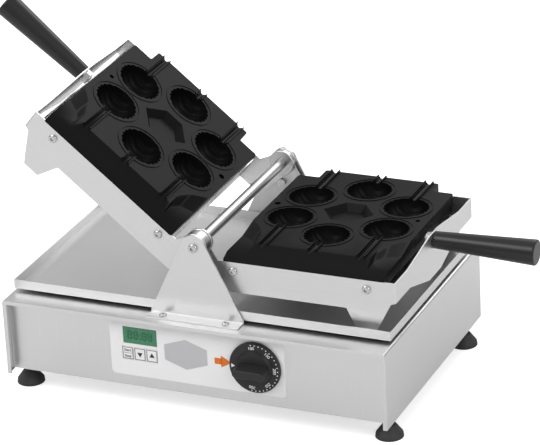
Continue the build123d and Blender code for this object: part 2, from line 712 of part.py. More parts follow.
def baking_plate():
    """Cast baking plate: raised deck, front apron, ringed ball cavities and stick channels."""
    outline = ball_profile()
    with BuildPart() as ball:
        with BuildSketch(Plane.XY):
            with BuildLine():
                Polyline(*[(radius, along) for along, radius in outline], close=True)
            make_face()
        revolve(axis=Axis.Y, revolution_arc=360)
    notch_y = HALF_REAR - NOTCH_Y
    with BuildPart() as casting:
        with BuildSketch(Plane.XY.offset(FRAME_TOP)):
            with BuildLine():
                Polyline(
                    (PLATE_IN, HALF_FRONT),
                    (PLATE_OUT, HALF_FRONT),
                    (PLATE_OUT, notch_y),
                    (PLATE_OUT - NOTCH_U, notch_y),
                    (PLATE_OUT - NOTCH_U, HALF_REAR),
                    (PLATE_IN + NOTCH_U, HALF_REAR),
                    (PLATE_IN + NOTCH_U, notch_y),
                    (PLATE_IN, notch_y),
                    close=True,
                )
            make_face()
        extrude(amount=DECK_N - FRAME_TOP)
        fillet(casting.edges().filter_by(Axis.Z), 3.0)
        with BuildSketch(Plane((PLATE_IN - 5, 0, 0), x_dir=(0, 1, 0), z_dir=(1, 0, 0))):
            with BuildLine():
                Polyline(
                    (HALF_FRONT - 1, FRAME_TOP + APRON_EDGE),
                    (HALF_FRONT, FRAME_TOP + APRON_EDGE),
                    (HALF_FRONT + APRON_RUN, DECK_N),
                    (HALF_FRONT + APRON_RUN, DECK_N + 1),
                    (HALF_FRONT - 1, DECK_N + 1),
                    close=True,
                )
            make_face()
        extrude(amount=PLATE_OUT - PLATE_IN + 10, mode=Mode.SUBTRACT)
        for edge_u, inward in ((PLATE_IN, 1), (PLATE_OUT, -1)):
            with BuildSketch(Plane((edge_u, HALF_FRONT, DECK_N - POCKET_DEEP))):
                with BuildLine():
                    Polyline(
                        (-6 * inward, -8),
                        (28 * inward, -8),
                        (28 * inward, 38),
                        (20 * inward, 54),
                        (-6 * inward, 70),
                        close=True,
                    )
                make_face()
            with BuildSketch(Plane((edge_u, HALF_FRONT, DECK_N))):
                with BuildLine():
                    Polyline(
                        (-6 * inward, -8),
                        (31 * inward, -8),
                        (31 * inward, 60),
                        (21 * inward, 82),
                        (-6 * inward, 112),
                        close=True,
                    )
                make_face()
            loft(ruled=True, mode=Mode.SUBTRACT)
        with BuildSketch(Plane.XY.offset(FRAME_TOP)):
            with BuildLine():
                Polyline(
                    (PLATE_IN + BODY_INSET, HALF_FRONT + BODY_INSET),
                    (PLATE_OUT - BODY_INSET, HALF_FRONT + BODY_INSET),
                    (PLATE_OUT - BODY_INSET, HALF_REAR - BODY_INSET),
                    (PLATE_IN + BODY_INSET, HALF_REAR - BODY_INSET),
                    close=True,
                )
            make_face()
        extrude(amount=BODY_LOW - FRAME_TOP)
        with BuildSketch(Plane((0, 0, DECK_N))):
            with Locations(*[(u, y) for u, y, side in cavity_centres()]):
                Circle(RING_R)
                Circle(RING_R - RING_W, mode=Mode.SUBTRACT)
        extrude(amount=RING_H)
        for u, y, side in cavity_centres():
            edge_y = HALF_REAR + 0.8 if side > 0 else HALF_FRONT + APRON_RUN - 1
            start_y = y + side * (BALL_R - 5)
            for rib in (-1, 1):
                with BuildSketch(Plane((u + rib * RIB_OFF, 0, DECK_N - 1))):
                    with Locations((0, (start_y + edge_y) / 2)):
                        Rectangle(RIB_W, abs(edge_y - start_y))
                extrude(amount=RIB_H + 1, taper=6)
        with BuildSketch(Plane((DECK_MID_U, DECK_MID_Y, DECK_N))):
            with BuildLine():
                Polyline((-14, 29), (14, 29), (36, 0), (14, -29), (-14, -29), (-36, 0), close=True)
            make_face()
        extrude(amount=-STAR_DEEP, taper=45, mode=Mode.SUBTRACT)
        for u, y, side in cavity_centres():
            add(ball.part.moved(Location((u, y, DECK_N))), mode=Mode.SUBTRACT)
        for u, y, side in cavity_centres():
            length = 160.0
            channel = Cylinder(
                CHANNEL_R,
                length,
                rotation=(90, 0, 0),
                align=(Align.CENTER, Align.CENTER, Align.MIN if side < 0 else Align.MAX),
                mode=Mode.PRIVATE,
            )
            add(channel.moved(Location((u, y + side * (BALL_R - 6), DECK_N + 0.6))), mode=Mode.SUBTRACT)
        for edge_u, depth, radius in ((PLATE_IN + 10, 5, 4.2), (PLATE_OUT - 14, 5, 3.4)):
            with BuildSketch(Plane((edge_u, DECK_MID_Y, DECK_N))):
                Circle(radius)
            extrude(amount=-depth, mode=Mode.SUBTRACT)
    return casting.part


plate = baking_plate()
both_halves(plate, "baking_plate")

# Tubular heater under the plate, held up by a clamp sheet
HEATER_D = 8.0
HEATER_N = BODY_LOW - HEATER_D / 2
heater_in = PLATE_IN + 24
heater_out = PLATE_OUT - 24
with BuildPart() as heater:
    with BuildLine() as heater_path:
        FilletPolyline(
            (heater_in, HALF_REAR - 30, HEATER_N),
            (heater_in, HALF_FRONT + 30, HEATER_N),
            (heater_in + 56, HALF_FRONT + 30, HEATER_N),
            (heater_in + 56, HALF_REAR - 60, HEATER_N),
            (heater_out - 56, HALF_REAR - 60, HEATER_N),
            (heater_out - 56, HALF_FRONT + 30, HEATER_N),
            (heater_out, HALF_FRONT + 30, HEATER_N),
            (heater_out, HALF_REAR - 30, HEATER_N),
            radius=22,
        )
    with BuildSketch(Plane((heater_in, HALF_REAR - 30, HEATER_N), x_dir=(1, 0, 0), z_dir=(0, -1, 0))):
        Circle(HEATER_D / 2)
    sweep(path=heater_path.wire())
both_halves(heater.part, "heater")

CLAMP_N = BODY_LOW - HEATER_D - 0.2
COVER_IN = 40.0
COVER_OUT = FRAME_END - HALF_T - 6
SIDE_SLACK = LAYER + HALF_T + 0.6


def inner_sheet(top, thick, u_from, u_to, slack):
    """A flat layer inside a half, clear of the side plates."""
    with BuildPart() as layer:
        with BuildSketch(Plane.XY.offset(top)):
            with Locations(((u_from + u_to) / 2, HALF_MID)):
                Rectangle(u_to - u_from, HALF_REAR - HALF_FRONT - 2 * slack)
        extrude(amount=-thick)
    return layer.part


both_halves(inner_sheet(CLAMP_N, 1.5, COVER_IN + 4, 232.0, SIDE_SLACK + 4), "heater_clamp")
both_halves(inner_sheet(CLAMP_N - 1.5, 9.0, COVER_IN + 6, 205.0, SIDE_SLACK + 5), "insulation")

# Back cover: a shallow folded pan closing each half from below
with BuildPart() as back_cover:
    cover_d = HALF_REAR - HALF_FRONT - 2 * SIDE_SLACK
    with BuildSketch(Plane.XZ.offset(-(HALF_FRONT + SIDE_SLACK))):
        with BuildLine():
            Polyline(
                (COVER_IN - 8, FRAME_TOP - 4),
                (COVER_IN - 8, FRAME_LOW - 1.5),
                (208, FRAME_LOW - 1.5),
                (240, FRAME_END_LOW - 1.5),
                (COVER_OUT, FRAME_END_LOW - 1.5),
                (COVER_OUT, FRAME_END_LOW + 8),
                (COVER_OUT - 1.5, FRAME_END_LOW + 8),
                (COVER_OUT - 1.5, FRAME_END_LOW),
                (239.6, FRAME_END_LOW),
                (207.6, FRAME_LOW),
                (COVER_IN - 6.5, FRAME_LOW),
                (COVER_IN - 6.5, FRAME_TOP - 4),
                close=True,
            )
        make_face()
    extrude(amount=-cover_d)
both_halves(back_cover.part, "back_cover")

# Screws through the side plates into the casting
with BuildPart() as plate_screws:
    for screw_u, screw_n in PLATE_SCREWS:
        for face_y, outward in ((HALF_FRONT, -1), (HALF_REAR, 1)):
            outer = Plane((screw_u, face_y, screw_n), x_dir=(1, 0, 0), z_dir=(0, outward, 0))
            add(screw_head(outer, 12.0, 3.6))
            with BuildSketch(outer):
                Circle(3.0)
            extrude(amount=-BODY_INSET)
finish(at_right(plate_screws.part), "plate_screws_right")
with BuildPart() as plate_screws_in:
    for screw_u, screw_n in PLATE_SCREWS:
        for face_y, outward in ((HALF_FRONT + LAYER, -1), (HALF_REAR - LAYER, 1)):
            outer = Plane((screw_u, face_y, screw_n), x_dir=(1, 0, 0), z_dir=(0, outward, 0))
            add(screw_head(outer, 12.0, 3.6))
            with BuildSketch(outer):
                Circle(3.0)
            extrude(amount=-(BODY_INSET - LAYER))
finish(at_left(plate_screws_in.part), "plate_screws_left")

# Handle: tapered grip, threaded stud, washer and nut
with BuildPart() as handle_grip:
    with BuildSketch(Plane((0, HALF_MID, HANDLE_N), x_dir=(1, 0, 0), z_dir=(0, -1, 0))):
        with BuildLine():
            Polyline(
                (FRAME_END, 0),
                (FRAME_END, HANDLE_ROOT_D / 2),
                (FRAME_END + HANDLE_L, HANDLE_END_D / 2),
                (FRAME_END + HANDLE_L, 0),
                close=True,
            )
        make_face()
    revolve(axis=Axis((0, HALF_MID, HANDLE_N), (1, 0, 0)))
    fillet(handle_grip.faces().sort_by(Axis.X)[-1].edges(), 2.5)
    fillet(handle_grip.faces().sort_by(Axis.X)[0].edges(), 1.0)
    with BuildSketch(Plane((FRAME_END, HALF_MID, HANDLE_N), x_dir=(0, 1, 0), z_dir=(1, 0, 0))):
        Circle(HANDLE_STUD_D / 2)
    extrude(amount=24, mode=Mode.SUBTRACT)
both_halves(handle_grip.part, "handle_grip")

with BuildPart() as handle_stud:
    with BuildSketch(Plane((FRAME_END + 24, HALF_MID, HANDLE_N), x_dir=(0, 1, 0), z_dir=(1, 0, 0))):
        Circle(HANDLE_STUD_D / 2)
    extrude(amount=-24 - HALF_T - 10)
both_halves(handle_stud.part, "handle_stud")

with BuildPart() as handle_nut:
    with BuildSketch(Plane((FRAME_END - HALF_T, HALF_MID, HANDLE_N), x_dir=(0, 1, 0), z_dir=(1, 0, 0))):
        Circle(10)
        Circle(HANDLE_STUD_D / 2, mode=Mode.SUBTRACT)
    extrude(amount=-1.5)
    with BuildSketch(Plane((FRAME_END - HALF_T - 1.5, HALF_MID, HANDLE_N), x_dir=(0, 1, 0), z_dir=(1, 0, 0))):
        RegularPolygon(9.2, 6)
        Circle(HANDLE_STUD_D / 2, mode=Mode.SUBTRACT)
    extrude(amount=-7)
both_halves(handle_nut.part, "handle_nut")

# Temperature probe in the casting's underside
with BuildPart() as sensor_probe:
    with BuildSketch(Plane((DECK_MID_U, DECK_MID_Y - 20, BODY_LOW))):
        Circle(3.0)
    extrude(amount=-HEATER_D)
both_halves(sensor_probe.part, "sensor_probe")
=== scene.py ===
"""Looks for a swing-type stick waffle maker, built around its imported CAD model."""
import json
import math

import bpy
from mathutils import Matrix, Vector


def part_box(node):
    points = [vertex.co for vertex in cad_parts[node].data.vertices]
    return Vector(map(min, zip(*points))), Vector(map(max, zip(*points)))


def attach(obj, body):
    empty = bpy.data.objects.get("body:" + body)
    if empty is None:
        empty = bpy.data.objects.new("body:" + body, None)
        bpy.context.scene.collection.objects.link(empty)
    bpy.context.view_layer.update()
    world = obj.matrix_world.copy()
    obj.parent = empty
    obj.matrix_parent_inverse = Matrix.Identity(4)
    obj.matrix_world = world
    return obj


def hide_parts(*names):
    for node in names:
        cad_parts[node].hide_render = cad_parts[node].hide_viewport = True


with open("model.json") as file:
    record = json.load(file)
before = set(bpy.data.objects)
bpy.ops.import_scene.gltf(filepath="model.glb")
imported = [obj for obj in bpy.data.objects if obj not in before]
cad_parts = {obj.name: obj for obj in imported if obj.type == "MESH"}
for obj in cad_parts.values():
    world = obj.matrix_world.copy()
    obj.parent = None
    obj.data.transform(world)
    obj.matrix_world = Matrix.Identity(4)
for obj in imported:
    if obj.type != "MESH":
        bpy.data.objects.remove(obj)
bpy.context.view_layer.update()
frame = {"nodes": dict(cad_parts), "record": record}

bl_info = {
    "name": "Stick waffle maker",
    "version": (1, 0, 0),
    "blender": (4, 5, 0),
    "location": "View3D > Sidebar > Waffle Maker",
    "description": "Dresses a stick waffle maker's CAD frame with finishes, legends and a studio",
    "category": "Object",
}

MM = 0.001
RECORD = frame["record"]
BODY_OF = {node: body for body, nodes in RECORD["behaviour"]["bodies"].items() for node in nodes}
JOINT_AT = {joint["name"]: joint.get("pos_m") for joint in RECORD["behaviour"]["joints"]}
OPEN_TILT = math.radians(39.5)
HALVES = ("right", "left")


def middle(node):
    """Centre of a CAD node's box at rest."""
    low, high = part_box(node)
    return (low + high) / 2


# Sizes and colours a user would change


class WaffleSizes(bpy.types.PropertyGroup):
    edge_softening: bpy.props.FloatProperty(
        name="Edge softening",
        description="Width of the soft edge on sheet and baking plates", default=0.6 * MM, unit="LENGTH")
    print_thickness: bpy.props.FloatProperty(
        name="Print thickness",
        description="Thickness of printed legends", default=0.12 * MM, unit="LENGTH")
    legend_size: bpy.props.FloatProperty(
        name="Key legend size",
        description="Height of the words on the key", default=5.2 * MM, unit="LENGTH")
    dial_number_size: bpy.props.FloatProperty(
        name="Dial number size",
        description="Height of the dial's numbers", default=6.0 * MM, unit="LENGTH")
    dial_number_radius: bpy.props.FloatProperty(
        name="Dial number radius",
        description="Numbers' distance from the dial's centre", default=28.3 * MM,
        unit="LENGTH")
    dial_dot_radius: bpy.props.FloatProperty(
        name="Dial dot radius",
        description="Dots' distance from the dial's centre", default=33.0 * MM, unit="LENGTH")
    badge_width: bpy.props.FloatProperty(
        name="Plate width", description="Width of the plain silver plate", default=62 * MM, unit="LENGTH")
    badge_height: bpy.props.FloatProperty(
        name="Plate height", description="Height of the plain silver plate", default=44 * MM, unit="LENGTH")
    arrow_length: bpy.props.FloatProperty(
        name="Arrow length", description="Length of the orange arrow", default=24 * MM, unit="LENGTH")


class WaffleColours(bpy.types.PropertyGroup):
    steel: bpy.props.FloatVectorProperty(
        name="Brushed steel",
        description="Housing, tray and frames", subtype="COLOR", default=(0.74, 0.74, 0.74))
    bright: bpy.props.FloatVectorProperty(
        name="Bright steel",
        description="Rod, screws and studs", subtype="COLOR", default=(0.58, 0.58, 0.58))
    coating: bpy.props.FloatVectorProperty(
        name="Plate coating",
        description="Non-stick baking plates", subtype="COLOR", default=(0.004, 0.004, 0.0044))
    grip: bpy.props.FloatVectorProperty(
        name="Handle grip",
        description="Moulded handle grips", subtype="COLOR", default=(0.012, 0.012, 0.012))
    dial: bpy.props.FloatVectorProperty(
        name="Dial", description="Moulded thermostat dial", subtype="COLOR", default=(0.02, 0.02, 0.021))
    rubber: bpy.props.FloatVectorProperty(
        name="Rubber", description="Feet and pads", subtype="COLOR", default=(0.03, 0.03, 0.03))
    overlay: bpy.props.FloatVectorProperty(
        name="Overlay", description="Printed control film", subtype="COLOR", default=(0.86, 0.86, 0.86))
    display: bpy.props.FloatVectorProperty(
        name="Display", description="Tinted display window", subtype="COLOR", default=(0.025, 0.2, 0.09))
    arrow: bpy.props.FloatVectorProperty(
        name="Arrow",
        description="Printed arrow beside the dial", subtype="COLOR", default=(0.75, 0.17, 0.01))


# Finishes

NOISE_DETAIL = 3.0
GRAIN_DEPTH = 0.05 * MM
# How far the lines depart from a sheet's own roughness, tone and surface
LINE_SMOOTHER = 0.07
LINE_ROUGHER = 0.09
LINE_DARKER = 0.9
LINE_LIGHTER = 1.08
LINE_DEPTH = 0.03 * MM


def plain_finish(name, colour, roughness, metallic=0.0, coat=0.0):
    """A finish whose look is the same all over."""
    finish = bpy.data.materials.new(name)
    finish.use_nodes = True
    shader = finish.node_tree.nodes["Principled BSDF"]
    shader.inputs["Base Color"].default_value = (*colour, 1)
    shader.inputs["Metallic"].default_value = metallic
    shader.inputs["Roughness"].default_value = roughness
    shader.inputs["Coat Weight"].default_value = coat
    return finish


def noise_along(tree, scale, tilt):
    """Noise drawn out along each axis by a scale, and even where all three are the same."""
    place = tree.nodes.new("ShaderNodeTexCoord")
    stretch = tree.nodes.new("ShaderNodeMapping")
    stretch.vector_type = "TEXTURE"
    stretch.inputs["Rotation"].default_value = (0, tilt, 0)
    stretch.inputs["Scale"].default_value = scale
    noise = tree.nodes.new("ShaderNodeTexNoise")
    noise.inputs["Scale"].default_value = 1.0
    noise.inputs["Detail"].default_value = NOISE_DETAIL
    tree.links.new(place.outputs["Object"], stretch.inputs["Vector"])
    tree.links.new(stretch.outputs["Vector"], noise.inputs["Vector"])
    return noise


def brushed_finish(name, colour, roughness, scale, tilt=0.0, depth=0.25):
    """Metal with lines or mottling in its roughness, tone and surface."""
    finish = plain_finish(name, colour, roughness, metallic=1.0)
    tree = finish.node_tree
    shader = tree.nodes["Principled BSDF"]
    lines = noise_along(tree, scale, tilt)
    rough = tree.nodes.new("ShaderNodeMapRange")
    rough.inputs["To Min"].default_value = roughness - LINE_SMOOTHER
    rough.inputs["To Max"].default_value = roughness + LINE_ROUGHER
    tree.links.new(lines.outputs["Fac"], rough.inputs["Value"])
    tree.links.new(rough.outputs["Result"], shader.inputs["Roughness"])
    tone = tree.nodes.new("ShaderNodeMix")
    tone.data_type = "RGBA"
    tone.inputs["A"].default_value = (*[channel * LINE_DARKER for channel in colour], 1)
    tone.inputs["B"].default_value = (*[min(channel * LINE_LIGHTER, 1) for channel in colour], 1)
    tree.links.new(lines.outputs["Fac"], tone.inputs["Factor"])
    tree.links.new(tone.outputs["Result"], shader.inputs["Base Color"])
    bump = tree.nodes.new("ShaderNodeBump")
    bump.inputs["Strength"].default_value = depth
    bump.inputs["Distance"].default_value = LINE_DEPTH
    tree.links.new(lines.outputs["Fac"], bump.inputs["Height"])
    tree.links.new(bump.outputs["Normal"], shader.inputs["Normal"])
    return finish


def grained_finish(name, colour, roughness, grain, depth):
    """Moulded, coated or woolly surface with a grain."""
    finish = plain_finish(name, colour, roughness)
    tree = finish.node_tree
    shader = tree.nodes["Principled BSDF"]
    speckle = noise_along(tree, (grain, grain, grain), tilt=0.0)
    bump = tree.nodes.new("ShaderNodeBump")
    bump.inputs["Strength"].default_value = depth
    bump.inputs["Distance"].default_value = GRAIN_DEPTH
    tree.links.new(speckle.outputs["Fac"], bump.inputs["Height"])
    tree.links.new(bump.outputs["Normal"], shader.inputs["Normal"])
    return finish


def finish_gloss(name, level):
    """Set how strongly a finish mirrors at a straight look."""
    shader = bpy.data.materials[name].node_tree.nodes["Principled BSDF"]
    shader.inputs["Specular IOR Level"].default_value = level


FINE = 0.35 * MM
LONG = 60 * MM
BRUSHED_ACROSS = (LONG, FINE, FINE)
BRUSHED_UP = (FINE, FINE, LONG)
TURNED = (LONG, FINE, LONG)
MOTTLED = (2 * MM, 2 * MM, 2 * MM)
PLATE_LINES = (FINE, 30 * MM, 30 * MM)
GRAIN = 0.5 * MM
GRIP_GRAIN = 0.6 * MM
DIAL_GRAIN = 0.4 * MM
WOOL_GRAIN = 2 * MM

ZINC = (0.55, 0.56, 0.58)
SILVER = (0.6, 0.6, 0.62)
SHEATH_BROWN = (0.3, 0.26, 0.22)
WOOL = (0.7, 0.66, 0.58)
BOARD_GREEN = (0.02, 0.16, 0.06)
TERMINAL_CREAM = (0.7, 0.68, 0.62)
SEGMENT_GREEN = (0.018, 0.15, 0.068)
LEGEND_BLACK = (0.02, 0.02, 0.02)
MARK_WHITE = (0.85, 0.85, 0.85)


def finishes():
    """Every finish by name, made once."""
    if "sheet across" in bpy.data.materials:
        return bpy.data.materials
    colours = bpy.context.scene.waffle_colours
    brushed_finish("sheet across", colours.steel, roughness=0.36, scale=BRUSHED_ACROSS)
    brushed_finish("sheet tilted", colours.steel, roughness=0.36, scale=BRUSHED_ACROSS, tilt=OPEN_TILT)
    brushed_finish("sheet upright", colours.steel, roughness=0.34, scale=BRUSHED_UP)
    brushed_finish("turned steel", colours.bright, roughness=0.3, scale=TURNED, depth=0.15)
    plain_finish("bright screws", colours.bright, roughness=0.2, metallic=1.0)
    brushed_finish("zinc sheet", ZINC, roughness=0.42, scale=MOTTLED)
    grained_finish("plate coating", colours.coating, roughness=0.38, grain=GRAIN, depth=0.15)
    finish_gloss("plate coating", level=0.09)
    grained_finish("handle bakelite", colours.grip, roughness=0.3, grain=GRIP_GRAIN, depth=0.08)
    finish_gloss("handle bakelite", level=0.4)
    grained_finish("dial plastic", colours.dial, roughness=0.42, grain=DIAL_GRAIN, depth=0.15)
    finish_gloss("dial plastic", level=0.35)
    grained_finish("rubber", colours.rubber, roughness=0.62, grain=GRAIN, depth=0.3)
    plain_finish("overlay film", colours.overlay, roughness=0.3, coat=0.2)
    plain_finish("key film", colours.overlay, roughness=0.35)
    plain_finish("display tint", colours.display, roughness=0.25, coat=0.6)
    plain_finish("display segments", SEGMENT_GREEN, roughness=0.4)
    plain_finish("legend ink", LEGEND_BLACK, roughness=0.5)
    plain_finish("dial white", MARK_WHITE, roughness=0.5)
    plain_finish("arrow ink", colours.arrow, roughness=0.45)
    brushed_finish("silver plate", SILVER, roughness=0.3, scale=PLATE_LINES)
    brushed_finish("heater sheath", SHEATH_BROWN, roughness=0.45, scale=MOTTLED)
    grained_finish("mineral wool", WOOL, roughness=0.9, grain=WOOL_GRAIN, depth=0.9)
    plain_finish("board laminate", BOARD_GREEN, roughness=0.5)
    plain_finish("terminal plastic", TERMINAL_CREAM, roughness=0.5)
    return bpy.data.materials


# Ways of making pieces

SOFT_EDGE_STEPS = 2
SHARP_PAST = math.radians(35)
MERGE_WITHIN = 0.002 * MM
FLAT_WITHIN = math.radians(0.5)
LARGE_FACE_WEIGHT = 100


def only(piece):
    """Select one piece alone and make it active."""
    bpy.ops.object.select_all(action="DESELECT")
    piece.select_set(True)
    bpy.context.view_layer.objects.active = piece


def settle(piece):
    """Put a piece's place into its mesh, so its object sits at the origin."""
    only(piece)
    bpy.ops.object.transform_apply(location=True, rotation=True, scale=True)


def soften(piece, width):
    """Bevel a piece's sharp edges."""
    only(piece)
    edge = piece.modifiers.new("soft edge", "BEVEL")
    edge.width = width
    edge.segments = SOFT_EDGE_STEPS
    edge.limit_method = "ANGLE"
    edge.angle_limit = SHARP_PAST
    bpy.ops.object.modifier_apply(modifier=edge.name)


def surface_of(node, finish, smooth=35, edge=0.0):
    """A clean copy of a CAD node with smooth rounds, and soft edges where asked, shown in its place."""
    source = frame["nodes"][node]
    piece = source.copy()
    piece.data = source.data.copy()
    piece.name = node + "_dressed"
    for key in list(piece.keys()):
        del piece[key]
    piece.parent = None
    piece.matrix_world = Matrix.Identity(4)
    bpy.context.scene.collection.objects.link(piece)
    only(piece)
    bpy.ops.mesh.customdata_custom_splitnormals_clear()
    bpy.ops.object.mode_set(mode="EDIT")
    bpy.ops.mesh.select_all(action="SELECT")
    bpy.ops.mesh.remove_doubles(threshold=MERGE_WITHIN)
    bpy.ops.mesh.dissolve_limited(angle_limit=FLAT_WITHIN)
    bpy.ops.object.mode_set(mode="OBJECT")
    if edge:
        soften(piece, edge)
    only(piece)
    bpy.ops.object.shade_smooth_by_angle(angle=math.radians(smooth))
    level = piece.modifiers.new("flat faces stay flat", "WEIGHTED_NORMAL")
    level.weight = LARGE_FACE_WEIGHT
    level.keep_sharp = True
    bpy.ops.object.modifier_apply(modifier=level.name)
    piece.data.materials.clear()
    piece.data.materials.append(finishes()[finish])
    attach(piece, BODY_OF[node])
    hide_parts(node)
    return piece


def colour_node(node, finish):
    """Give a CAD node that stays as it is its finish."""
    mesh = frame["nodes"][node].data
    mesh.materials.clear()
    mesh.materials.append(finishes()[finish])


def printed(piece, name, finish, body):
    """Give a flat outline its thickness, name, finish and body."""
    settle(piece)
    layer = piece.modifiers.new("print", "SOLIDIFY")
    layer.thickness = bpy.context.scene.waffle_sizes.print_thickness
    layer.offset = 1.0
    bpy.ops.object.modifier_apply(modifier=layer.name)
    piece.name = name
    piece.data.name = name
    piece.data.materials.clear()
    piece.data.materials.append(finishes()[finish])
    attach(piece, body)
    return piece


FACING_FRONT = (math.radians(90), 0, 0)
CORNER_STEPS = 6
# A share of the letters' size
LETTER_BOLDER = 0.015
LETTER_STEPS = 3


def flat_rectangle(x, y, z, width, height, corner=0.0):
    """A rectangle that faces the front, with round corners where asked."""
    bpy.ops.mesh.primitive_plane_add(size=1, location=(x, y, z), rotation=FACING_FRONT)
    piece = bpy.context.object
    piece.scale = (width, height, 1)
    settle(piece)
    if corner:
        bpy.ops.object.mode_set(mode="EDIT")
        bpy.ops.mesh.select_all(action="SELECT")
        bpy.ops.mesh.bevel(offset=corner, segments=CORNER_STEPS, affect="VERTICES")
        bpy.ops.object.mode_set(mode="OBJECT")
    return piece


def flat_ring(x, y, z, width, height, corner, line):
    """A rounded outline of one line's width, facing the front."""
    piece = flat_rectangle(x, y, z, width, height, corner)
    only(piece)
    bpy.ops.object.mode_set(mode="EDIT")
    bpy.ops.mesh.select_all(action="SELECT")
    bpy.ops.mesh.inset(thickness=line)
    bpy.ops.mesh.delete(type="FACE")
    bpy.ops.object.mode_set(mode="OBJECT")
    return piece


def flat_triangle(x, y, z, radius, turn):
    """A triangle that faces the front; no turn points it up."""
    bpy.ops.mesh.primitive_circle_add(
        vertices=3, radius=radius, fill_type="NGON", location=(x, y, z), rotation=(FACING_FRONT[0], turn, 0))
    piece = bpy.context.object
    settle(piece)
    return piece


def flat_words(words, size, x, y, z, turn=0.0):
    """Words that face the front, centred, as a mesh."""
    bpy.ops.object.text_add(location=(x, y, z), rotation=(FACING_FRONT[0], turn, 0))
    piece = bpy.context.object
    piece.data.body = words
    piece.data.size = size
    piece.data.offset = size * LETTER_BOLDER
    piece.data.align_x = "CENTER"
    piece.data.align_y = "CENTER"
    piece.data.resolution_u = LETTER_STEPS
    only(piece)
    bpy.ops.object.convert(target="MESH")
    piece = bpy.context.object
    settle(piece)
    return piece


def joined(pieces):
    """Several outlines as one piece."""
    bpy.ops.object.select_all(action="DESELECT")
    for piece in pieces:
        piece.select_set(True)
    bpy.context.view_layer.objects.active = pieces[0]
    bpy.ops.object.join()
    return bpy.context.object


# Pieces

# Shares of the soft edge's width
TRAY_EDGE = 0.6
FRAME_EDGE = 0.7


class WAFFLE_OT_housing(bpy.types.Operator):
    """Dress the housing's sheets, the drip tray and the rod's brackets"""
    bl_idname = "waffle.housing"
    bl_label = "Housing and tray"

    def execute(self, context):
        edge = context.scene.waffle_sizes.edge_softening
        surface_of("housing_shell", "sheet across", edge=edge)
        surface_of("front_panel", "sheet upright")
        surface_of("rear_panel", "sheet across")
        surface_of("bottom_cover", "zinc sheet")
        surface_of("drip_tray", "sheet across", edge=edge * TRAY_EDGE)
        surface_of("pivot_bracket_front", "sheet across", edge=edge)
        surface_of("pivot_bracket_rear", "sheet across", edge=edge)
        surface_of("tray_pads", "rubber")
        return {"FINISHED"}


class WAFFLE_OT_halves(bpy.types.Operator):
    """Dress both halves: frames, baking plates, covers, heaters and handles"""
    bl_idname = "waffle.halves"
    bl_label = "Baking halves"

    def execute(self, context):
        edge = context.scene.waffle_sizes.edge_softening
        for side in HALVES:
            sheet = "sheet tilted" if side == "left" else "sheet across"
            surface_of("frame_" + side, sheet, edge=edge * FRAME_EDGE)
            surface_of("back_cover_" + side, sheet)
            surface_of("baking_plate_" + side, "plate coating", smooth=42, edge=edge)
            surface_of("handle_grip_" + side, "handle bakelite", smooth=50)
            surface_of("handle_stud_" + side, "bright screws")
            surface_of("handle_nut_" + side, "bright screws")
            surface_of("plate_screws_" + side, "bright screws")
            surface_of("heater_" + side, "heater sheath", smooth=60)
            surface_of("heater_clamp_" + side, "zinc sheet")
            surface_of("insulation_" + side, "mineral wool")
            surface_of("sensor_probe_" + side, "bright screws")
        return {"FINISHED"}


class WAFFLE_OT_turned(bpy.types.Operator):
    """Dress the rod, its spacers and collars, the screws, the feet and the cable gland"""
    bl_idname = "waffle.turned"
    bl_label = "Rod, screws and feet"

    def execute(self, context):
        for node in ("pivot_rod", "spacer_front", "spacer_rear", "collar_front", "collar_rear"):
            surface_of(node, "turned steel", smooth=40)
        screws = ("rod_screws", "stop_pins", "bracket_screws", "rear_panel_screws")
        for node in (*screws, "foot_studs", "foot_nuts"):
            surface_of(node, "bright screws", smooth=40)
        surface_of("foot_rubbers", "rubber", smooth=50)
        surface_of("cable_gland", "dial plastic")
        surface_of("gland_nut", "dial plastic")
        return {"FINISHED"}


class WAFFLE_OT_inside(bpy.types.Operator):
    """Colour the pieces inside the housing"""
    bl_idname = "waffle.inside"
    bl_label = "Inner pieces"

    def execute(self, context):
        colour_node("timer_board", "board laminate")
        colour_node("heater_relay", "dial plastic")
        colour_node("terminal_block", "terminal plastic")
        colour_node("thermostat_body", "zinc sheet")
        return {"FINISHED"}


LIFT = 0.02 * MM
DIGIT_LIFT = 0.03 * MM
DIGIT_SIZE = 17 * MM
OUTLINE_NARROWER = 1.5 * MM
OUTLINE_LOWER = 4.5 * MM
OUTLINE_CORNER = 1.6 * MM
OUTLINE_LINE = 0.75 * MM
START_ABOVE = 4.2 * MM
STOP_BELOW = 4.4 * MM
RULE_WIDTH = 12 * MM
RULE_HEIGHT = 0.4 * MM
KEY_MARK_RADIUS = 4.4 * MM
PLATE_PAST_KEYS = 41.5 * MM
PLATE_ABOVE_DIAL = 2 * MM
ARROW_GAP = 1.0 * MM
ARROW_TAIL_HEIGHT = 9 * MM
# Shares of the arrow's length
ARROW_HEAD_AT = 0.33
ARROW_TAIL_AT = 0.72
ARROW_PART_LENGTH = 0.42


